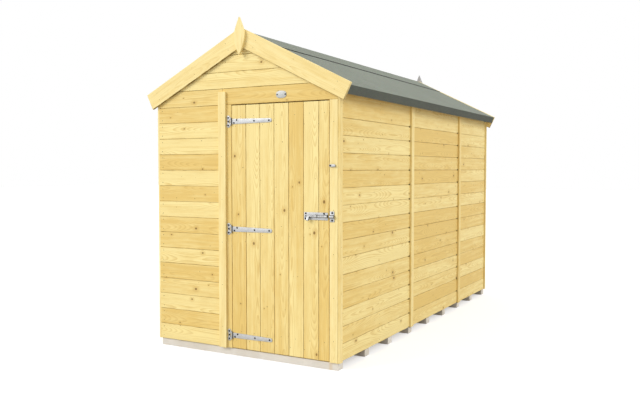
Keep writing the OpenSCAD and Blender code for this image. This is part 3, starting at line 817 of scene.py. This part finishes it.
def roof_boards(node, side):
    """Boards along the roof, from the eaves to the ridge; the V joints face the room."""
    points = points_of(node)
    low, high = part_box(node)
    ridge = [p.z for p in points if abs(p.x) < NEAR]
    peak = max(ridge)
    eaves_top = max(points, key=lambda p: abs(p.x))
    slope = math.atan2(peak - eaves_top.z, abs(eaves_top.x))
    normal = Vector((side * math.sin(slope), 0, math.cos(slope)))
    thick = (peak - min(ridge)) * math.cos(slope)
    upslope = Vector((-side * math.cos(slope), 0, math.sin(slope)))
    along = upslope.cross(-normal)
    y0 = low.y if along.y > 0 else high.y
    corner = Vector((eaves_top.x, y0, eaves_top.z))
    length = (Vector((0, y0, peak)) - corner).length
    axes = (corner, along, upslope, -normal)
    run = high.y - low.y
    mitre = math.tan(slope)
    lumber = Lumber()
    joints = even_bounds(0.0, length, ROOF_PITCH)
    for i, (v0, v1) in enumerate(zip(joints, joints[1:])):
        tongued = i < len(joints) - 2
        square = matched_section(v0, v1, thick, tongued)

        def mitred(low_wear, high_wear):
            return [(min(v, length - w * mitre), w) for v, w in square(low_wear, high_wear)]

        section = square if tongued else mitred
        lumber.board(axes, section, fixed(0.0), fixed(run), random_tone(ROOF_SHARE), stations_of(run))
    boards_piece(node, lumber)


door_boards()
floor_boards()
roof_boards("roof_boards_right", 1)
roof_boards("roof_boards_left", -1)


# Solid timbers
STRIPS = ("front_cover_strips", "right_cover_strips", "left_cover_strips")
STRIP_TONES = (0.1, 0.3)
RIGHT_STRIP_LIFTS = (0.25, 0.2, 0.6, -0.2)
BARGEBOARDS = (
    "front_bargeboard_right", "front_bargeboard_left", "back_bargeboard_right", "back_bargeboard_left",
)
FRONT_BARGE_TONES = (0.3, 0.5)
BACK_BARGE_TONES = (0.1, 0.3)
UNDERSIDE = -0.5  # faces whose normals point further down than this are undersides
# level of painted shade on the undersides of bargeboards
UNDER_PAINTED_SHADE = 3.5
FRAMING = (
    "latch_post", "end_wall_studs", "end_wall_rails", "right_studs", "right_rails", "left_studs",
    "left_rails", "roof_purlins", "roof_trusses", "eaves_rails", "door_ledges", "door_braces",
)
FRAMING_TONES = (0.2, 0.6)
# the hinge post's golden tones are painted shade from the cover strip and the door beside it
HINGE_POST_PAINTED_SHADE_TONES = (0.95, 1.0)
BEARER_TONES = (0.1, 0.7)
FINIAL_TONES = (0.15, 0.25)
LEAST_SIDE = 0.3  # an axis with less of it across the grain than this isn't a side of the timber


def soften(solid, width):
    """Rounds the sharp edges of a solid."""
    sharp = [e for e in solid.edges if len(e.link_faces) == 2 and e.calc_face_angle(0.0) > SHARP_ANGLE]
    bmesh.ops.bevel(solid, geom=sharp, offset=width, segments=BEVEL_STEPS, profile=BEVEL_PROFILE,
                    affect="EDGES", clamp_overlap=True)


def grain_axes(solid, along=None):
    """Axes of a timber's grain: along its longest edge, with depth over its thinnest side."""
    if along is None:
        edge = max(solid.edges, key=lambda e: e.calc_length())
        along = (edge.verts[1].co - edge.verts[0].co).normalized()
    best = None
    for axis in (RIGHT, BACK, UP):
        side = axis - along * axis.dot(along)
        if side.length < LEAST_SIDE:
            continue
        side.normalize()
        reach = [v.co.dot(side) for v in solid.verts]
        spread = max(reach) - min(reach)
        if best is None or spread < best[0]:
            best = (spread, side)
    deep = best[1]
    return along, deep.cross(along), deep


def timber(node, tones, along=None, ease=0.0, chosen=slice(None), label="timber", slot=None, finish=None,
           bevel=TIMBER_BEVEL, under=0.0, lifts=(0.0,)):
    """Chosen solids of a node as rounded timbers with their own grain.

    ease moves the right-hand end of the node, under is how much painted shade the undersides get, and lifts
    repeat over the solids and deepen their tones.
    """
    lumber = Lumber()
    end_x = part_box(node)[1].x
    for i, solid in enumerate(solids_of(node)[chosen]):
        for vert in solid.verts:
            if vert.co.x > end_x - NEAR:
                vert.co.x += ease
        axes = grain_axes(solid, along)
        soften(solid, bevel)
        solid.normal_update()
        # painted shade on the undersides, carried as joint levels of the lumber attribute
        joints = [under if any(f.normal.z < UNDERSIDE for f in v.link_faces) else 0.0 for v in solid.verts]
        lumber.take(solid, *axes, [RNG.uniform(*tones) + lifts[i % len(lifts)]], joints)
    slot = slot or SLOT_OF[node]
    name = node + "." + label
    add_piece(name, lumber.mesh(name), BODY_OF[node], slot, finish or slot, [node])


for name in STRIPS:
    timber(name, STRIP_TONES, lifts=RIGHT_STRIP_LIFTS if name.startswith("right") else (0.0,))
for name in BARGEBOARDS:
    tones = FRONT_BARGE_TONES if name.startswith("front") else BACK_BARGE_TONES
    timber(name, tones, bevel=BARGE_BEVEL, under=UNDER_PAINTED_SHADE)
for name in FRAMING:
    timber(name, FRAMING_TONES)
timber("hinge_post", HINGE_POST_PAINTED_SHADE_TONES, ease=DOOR_EASE)
timber("floor_bearers", BEARER_TONES)
timber("finials", FINIAL_TONES, UP, chosen=slice(0, 1))
timber("finials", FINIAL_TONES, UP, chosen=slice(1, 2), label="back", slot="bearer_timber",
       finish="grey_timber")


# Metal pieces
PLATED = (
    "hinge_plates", "hinge_straps", "bolt_plate", "bolt_bar", "bolt_keep", "turn_button", "name_plate",
)
# where the painted shade on faces turned from the front starts, and how fast it deepens
DULL_AND_SHADED_START = 1.1
DULL_AND_SHADED_GAIN = 1.6


def plated(node, material=None):
    """A node's solids as metal pieces with rounded edges, with painted shade and dull cut edges where they
    don't face the front.
    """
    solids = solids_of(node)
    for solid in solids:
        soften(solid, METAL_BEVEL)
    name = node + ".plated"
    mesh = joined(name, solids)
    mesh.shade_smooth()
    mesh.set_sharp_from_angle(angle=SMOOTH_ANGLE)
    # painted shade: faces turned from the front are marked darker
    mark(mesh, "dull_and_shaded", lambda normal: min(1.0, DULL_AND_SHADED_GAIN * max(0.0, DULL_AND_SHADED_START + normal.y)))
    slot = SLOT_OF[node]
    add_piece(name, mesh, BODY_OF[node], slot, material or slot, [node])


for name in PLATED:
    plated(name)
plated("button_screw", "screw_steel")


# Felt
RIDGE_SHARE = 0.66
TURNED_BELOW = 0.3  # faces whose normals point up less than this are turned down
BEAD_W = 0.007
BEAD_RISE = 0.0008


def ridge_lap():
    """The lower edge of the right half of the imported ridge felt, and the slope there."""
    edge = max(points_of("ridge_felt"), key=lambda p: p.x)
    return edge, math.atan2(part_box("ridge_felt")[1].z - edge.z, edge.x)


def felt(node, share=1.0):
    """A felt sheet with the shape of its node and rounded edges; the faces that turn down are marked for
    painted shade.

    With a share under 1 its lower edges are drawn up the slope, to that share of their distance from the
    ridge.
    """
    rise = math.tan(ridge_lap()[1]) * (1.0 - share)
    solids = solids_of(node)
    for solid in solids:
        for vert in solid.verts:
            vert.co.z += abs(vert.co.x) * rise
            vert.co.x *= share
        soften(solid, FELT_BEVEL)
    name = node + ".sheet"
    mesh = joined(name, solids)
    mark(mesh, "turned", lambda normal: 1.0 if normal.z < TURNED_BELOW else 0.0)
    add_piece(name, mesh, BODY_OF[node], "felt", "felt", [node])


def lap_beads():
    """Bitumen pressed out along the two lower edges of the ridge felt."""
    edge, slope = ridge_lap()
    low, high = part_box("ridge_felt")
    thick = (high.z - max(p.z for p in points_of("roof_felt"))) * math.cos(slope)
    lap = edge.x * RIDGE_SHARE / math.cos(slope)
    top = Vector((0.0, 0.0, high.z))
    outline = [
        (lap - BEAD_W, -thick), (lap - BEAD_W, BEAD_RISE), (lap, BEAD_RISE),
        (lap + BEAD_W / 2, -thick / 2), (lap + BEAD_W, -thick),
    ]
    whole = bmesh.new()
    for side in (-1, 1):
        downslope = Vector((side * math.cos(slope), 0.0, -math.sin(slope)))
        normal = Vector((side * math.sin(slope), 0.0, math.cos(slope)))
        rings = []
        for y in (low.y, high.y):
            points = [top + downslope * s + normal * n + BACK * y for s, n in outline]
            rings.append([whole.verts.new(point) for point in points])
        tube(whole, rings)
    add_piece("ridge_lap_beads", closed_mesh("ridge_lap_beads", whole), "shed", "felt", "bitumen")


felt("roof_felt")
felt("ridge_felt", RIDGE_SHARE)
lap_beads()


# Screws
SCREW_R = 0.0066
NAME_SCREW_R = 0.0055
SCREW_RISE = 0.0024
SCREW_DOME = 0.86
SCREW_STEPS = 24
SCREW_RINGS = (0.22, 0.4, 0.58, 0.8, 1.0)
CROSS_REACH = 0.6
CROSS_HALF_W = 0.14
CROSS_LEVEL = 0.35

# Places of screws, from the left edge and the middle height of a plate
PLATE_T = 0.0025
LEAF_LOBE_R = 0.015
LEAF_SCREWS = ((LEAF_LOBE_R, -0.027), (LEAF_LOBE_R, 0.0), (LEAF_LOBE_R, 0.027))
STRAP_SCREWS = ((0.0295, -0.010), (0.0525, 0.010), (0.1995, 0.0), (0.3215, 0.0))
BOLT_SCREWS = ((0.013, 0.017), (0.0145, 0.0), (0.012, -0.017), (0.152, 0.018))
KEEP_SCREW_INSET = 0.010
NAME_SCREW_INSET = 0.009


def screw_head(whole, place, radius):
    """A domed cross-head screw on a face that looks to the front."""
    turn = RNG.uniform(0.0, math.pi)

    def point(share, angle):
        high = SCREW_RISE * math.sqrt(1.0 - SCREW_DOME * share * share)
        in_cross = share * min(abs(math.cos(angle)), abs(math.sin(angle))) < CROSS_HALF_W
        if share < CROSS_REACH and in_cross:
            high *= CROSS_LEVEL
        if share == 1.0:
            high = 0.0
        flat = RIGHT * math.cos(angle + turn) + UP * math.sin(angle + turn)
        return place + flat * (radius * share) + FRONT * high

    middle = whole.verts.new(point(0.0, 0.0))
    angles = [2 * math.pi * i / SCREW_STEPS for i in range(SCREW_STEPS)]
    rings = [[whole.verts.new(point(share, angle)) for angle in angles] for share in SCREW_RINGS]
    inner = rings[0]
    for i in range(SCREW_STEPS):
        whole.faces.new([middle, inner[i], inner[(i + 1) % SCREW_STEPS]])
    wrap(whole, rings)
    whole.faces.new(rings[-1])


def screws(name, body, boxes, spots, thick=PLATE_T, radius=SCREW_R):
    """A piece of screw heads that rides on a body, on the plates in boxes."""
    whole = bmesh.new()
    for low, high in boxes:
        for x, z in spots:
            place = Vector((low.x + x, high.y - thick, (low.z + high.z) / 2 + z))
            screw_head(whole, place, radius)
    mesh = closed_mesh(name, whole)
    mesh.shade_smooth()
    add_piece(name, mesh, body, "zinc_steel", "screw_steel")


def keep_screws():
    """One screw in the keep above the bolt and one below."""
    low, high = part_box("bolt_keep")
    half = (high - low) / 2
    reach = half.z - KEEP_SCREW_INSET
    screws("bolt_keep_screws", "shed", [(low, high)], [(half.x, -reach), (half.x, reach)])


def name_plate_screws():
    """One screw at each end of the bare plate over the door."""
    low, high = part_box("name_plate")
    size = high - low
    spots = [(NAME_SCREW_INSET, 0.0), (size.x - NAME_SCREW_INSET, 0.0)]
    screws("name_plate_screws", "shed", [(low, high)], spots, size.y, NAME_SCREW_R)


screws("hinge_leaf_screws", "shed", boxes_of("hinge_plates"), LEAF_SCREWS)
screws("hinge_strap_screws", "door", boxes_of("hinge_straps"), STRAP_SCREWS)
screws("bolt_plate_screws", "door", [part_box("bolt_plate")], BOLT_SCREWS)
keep_screws()
name_plate_screws()


# Nails
NAIL_STEPS = 8
NAIL_SINK = 0.0008
NAIL_R = 0.0022
NAIL_RISE = 0.0006
NAIL_RIM = 0.4
NAIL_CROWN = 0.6
NAIL_SPREAD = 0.034
HAMMER_MISS = 0.003
STRIP_NAIL_PITCH = 0.30
STRIP_CLEAR = 0.01
POST_CLEAR = 0.05
BARGE_NAIL_SHARES = (0.14, 0.5, 0.9)
BARGE_NAIL_SPREAD = 0.0272
BARGE_TAIL = 0.08
DOOR_NAIL_PAIRS = 7
LEDGE_NAIL_SHARE = 0.34
LEDGE_NAIL_STEP = 0.02
CLOUT_R = 0.0048
CLOUT_RISE = 0.0012
CLOUT_PITCH = 0.125
CLOUT_INSET = 0.022


def nail_head(whole, place, outward, radius, rise):
    """A low round head, sunk a little into the face."""
    side = outward.orthogonal().normalized()
    upward = outward.cross(side)
    rings = []
    for share, height in ((1.0, -NAIL_SINK), (1.0, NAIL_RIM * rise), (NAIL_CROWN, rise)):
        ring = []
        for i in range(NAIL_STEPS):
            angle = 2 * math.pi * i / NAIL_STEPS
            flat = side * math.cos(angle) + upward * math.sin(angle)
            ring.append(whole.verts.new(place + flat * (radius * share) + outward * height))
        rings.append(ring)
    tube(whole, rings)


def nails(name, body, places, material, radius=NAIL_R, rise=NAIL_RISE):
    """A piece of nail heads; each place is a point on a face and that face's normal."""
    whole = bmesh.new()
    for place, outward in places:
        nail_head(whole, place, outward, radius, rise)
    add_piece(name, closed_mesh(name, whole), body, "zinc_steel", material)


def jitter():
    """A small miss of the hammer."""
    return RNG.uniform(-HAMMER_MISS, HAMMER_MISS)


def board_pairs(low_z, high_z):
    """Heights of the two nails in each level board of a wall."""
    count = round((high_z - low_z) / BOARD_PITCH)
    middles = [low_z + BOARD_PITCH * (i + 0.5) for i in range(count)]
    return [z + side * NAIL_SPREAD for z in middles for side in (-1, 1)]


def strip_heights(low_z, high_z):
    """Heights of the nails along a cover strip."""
    count = round((high_z - low_z) / STRIP_NAIL_PITCH)
    return [low_z + (high_z - low_z) * (i + 0.5) / count + jitter() for i in range(count)]


def side_nails(hand, outward):
    """Nails in the boards of a side wall over its studs, and along its cover strips."""
    found = []
    strips = boxes_of(hand + "_cover_strips")
    wall_low, wall_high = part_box(hand + "_front_panel")
    face_x = wall_high.x if outward is RIGHT else wall_low.x
    for low, high in boxes_of(hand + "_studs"):
        y = (low.y + high.y) / 2
        if any(first.y - STRIP_CLEAR < y < last.y + STRIP_CLEAR for first, last in strips):
            continue
        for z in board_pairs(wall_low.z, wall_high.z)[:-1]:
            found.append((Vector((face_x, y + jitter(), z + jitter())), outward))
    for low, high in strips:
        strip_x = high.x if outward is RIGHT else low.x
        for z in strip_heights(low.z, high.z):
            found.append((Vector((strip_x, (low.y + high.y) / 2, z)), outward))
    return found


def end_nails():
    """Nails in the boards of the front and back walls over their studs."""
    found = []
    panel_low, panel_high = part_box("front_left_panel")
    back_low, back_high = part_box("back_panel")
    for low, high in boxes_of("end_wall_studs"):
        x = (low.x + high.x) / 2
        if high.y < 0 and panel_low.x < x < panel_high.x - POST_CLEAR:
            for z in board_pairs(panel_low.z, panel_high.z):
                found.append((Vector((x + jitter(), panel_low.y, z + jitter())), FRONT))
        if low.y > 0:
            for z in board_pairs(back_low.z, min(high.z, GABLE_EAVES)):
                found.append((Vector((x + jitter(), back_high.y, z + jitter())), BACK))
    return found


def front_strip_nails():
    """Nails along the front cover strips, with none under the turn button."""
    found = []
    button_low, button_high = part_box("turn_button")
    for low, high in boxes_of("front_cover_strips"):
        x = (low.x + high.x) / 2
        for z in strip_heights(low.z, high.z):
            under_button = button_low.x < x < button_high.x and button_low.z < z < button_high.z
            if not under_button:
                found.append((Vector((x, low.y, z)), FRONT))
    return found


def barge_nails(node, outward):
    """Pairs of nails along a bargeboard."""
    points = points_of(node)
    low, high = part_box(node)
    y = low.y if outward is FRONT else high.y
    tail_x = max(abs(p.x) for p in points)
    ridge = [p.z for p in points if abs(p.x) < NEAR]
    tail = [p for p in points if abs(p.x) > tail_x - BARGE_TAIL]
    tail_z = [p.z for p in tail]
    ridge_mid = Vector((0.0, y, (min(ridge) + max(ridge)) / 2))
    tail_mid = Vector((sum(p.x for p in tail) / len(tail), y, (min(tail_z) + max(tail_z)) / 2))
    run = tail_mid - ridge_mid
    across = Vector((-run.z, 0.0, run.x)).normalized()
    return [
        (ridge_mid + run * share + across * (side * BARGE_NAIL_SPREAD), outward)
        for share in BARGE_NAIL_SHARES for side in (-1, 1)
    ]


def door_nails():
    """Pairs of nails through the door's boards into each ledge."""
    found = []
    door_low, door_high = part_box("door_boards")
    for low, high in boxes_of("door_ledges"):
        for i in range(DOOR_NAIL_PAIRS):
            x = door_low.x + (door_high.x - door_low.x) * (i + 0.5) / DOOR_NAIL_PAIRS
            for side in (-1, 1):
                z = (low.z + high.z) / 2 + side * (high.z - low.z) * LEDGE_NAIL_SHARE
                place = Vector((x + side * LEDGE_NAIL_STEP + jitter(), door_low.y, z + jitter()))
                found.append((place, FRONT))
    return found


def clouts():
    """Felt nails along the two lower edges of the ridge felt."""
    found = []
    ridge_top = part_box("ridge_felt")[1].z
    felt_low, felt_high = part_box("roof_felt")
    edge, slope = ridge_lap()
    count = round((felt_high.y - felt_low.y) / CLOUT_PITCH)
    for side in (-1, 1):
        normal = Vector((side * math.sin(slope), 0.0, math.cos(slope)))
        x = edge.x * RIDGE_SHARE - CLOUT_INSET * math.cos(slope)
        z = ridge_top - x * math.tan(slope)
        for i in range(count):
            y = felt_low.y + (felt_high.y - felt_low.y) * (i + 0.5) / count
            found.append((Vector((side * x, y + jitter(), z)), normal))
    return found


wall_nails = side_nails("right", RIGHT) + side_nails("left", LEFT) + end_nails() + front_strip_nails()
for hand in ("right", "left"):
    wall_nails += barge_nails("front_bargeboard_" + hand, FRONT)
    wall_nails += barge_nails("back_bargeboard_" + hand, BACK)
nails("wall_nails", "shed", wall_nails, "nail_steel")
nails("door_nails", "door", door_nails(), "nail_steel")
nails("felt_clouts", "shed", clouts(), "clout_steel", CLOUT_R, CLOUT_RISE)


# Camera, from the fit to the photo
CAMERA_AT = Vector((2.898, -5.7755, 1.3263))
CAMERA_YAW = -0.5071
CAMERA_PITCH = 0.0434
CAMERA_LENS = 40.17
CAMERA_SENSOR = 36.0

look = Vector((
    math.sin(CAMERA_YAW) * math.cos(CAMERA_PITCH),
    math.cos(CAMERA_YAW) * math.cos(CAMERA_PITCH),
    -math.sin(CAMERA_PITCH),
))
camera = bpy.data.objects.new("camera", bpy.data.cameras.new("camera"))
bpy.context.scene.collection.objects.link(camera)
camera.data.lens = CAMERA_LENS
camera.data.sensor_width = CAMERA_SENSOR
camera.matrix_world = Matrix.Translation(CAMERA_AT) @ look.to_track_quat("-Z", "Y").to_matrix().to_4x4()
bpy.context.scene.camera = camera


# Floor and light
WHITE = (1.0, 1.0, 1.0, 1.0)
FLOOR_LIT = (0.45, 0.45, 0.45, 1.0)
FLOOR_SEEN = (0.6, 0.6, 0.6, 1.0)
FLOOR_GLOW = 0.5
FLOOR_REACH = 40.0
SKY = 0.76


def white_floor():
    """A pale floor that shows white to the camera and keeps the object's shadow."""
    s = Shader(bpy.data.materials.new("white_floor"))
    seen = s.seen()
    colour = s.mix(seen, FLOOR_LIT, FLOOR_SEEN)
    return s.finish(Base_Color=colour, Roughness=0.9, Specular_IOR_Level=0.1, Emission_Color=WHITE,
                    Emission_Strength=s.mul(seen, FLOOR_GLOW))


def studio():
    """A world that shows white to the camera and lights the object at a plain level."""
    s = Shader(bpy.data.worlds.new("studio"), "Background")
    return s.finish(Color=WHITE, Strength=s.remap(s.seen(), 0.0, 1.0, SKY, 1.0))


def sun(name, towards, strength, spread):
    """A soft distant lamp that shines along a direction."""
    lamp = bpy.data.lights.new(name, "SUN")
    lamp.energy = strength
    lamp.angle = math.radians(spread)
    placed = bpy.data.objects.new(name, lamp)
    placed.rotation_mode = "QUATERNION"
    placed.rotation_quaternion = Vector(towards).to_track_quat("-Z", "Y")
    bpy.context.scene.collection.objects.link(placed)


floor_mesh = bpy.data.meshes.new("floor")
corners = [(-1, -1), (1, -1), (1, 1), (-1, 1)]
floor_mesh.from_pydata([(x * FLOOR_REACH, y * FLOOR_REACH, 0.0) for x, y in corners], [], [(0, 1, 2, 3)])
floor_mesh.materials.append(white_floor())
floor = bpy.data.objects.new("floor", floor_mesh)
bpy.context.scene.collection.objects.link(floor)

bpy.context.scene.world = studio()
sun("key", towards=(0.62, 0.62, -0.48), strength=1.9, spread=30)
sun("fill", towards=(-0.75, -0.35, -0.6), strength=1.3, spread=36)
bpy.context.scene.view_settings.view_transform = "Standard"
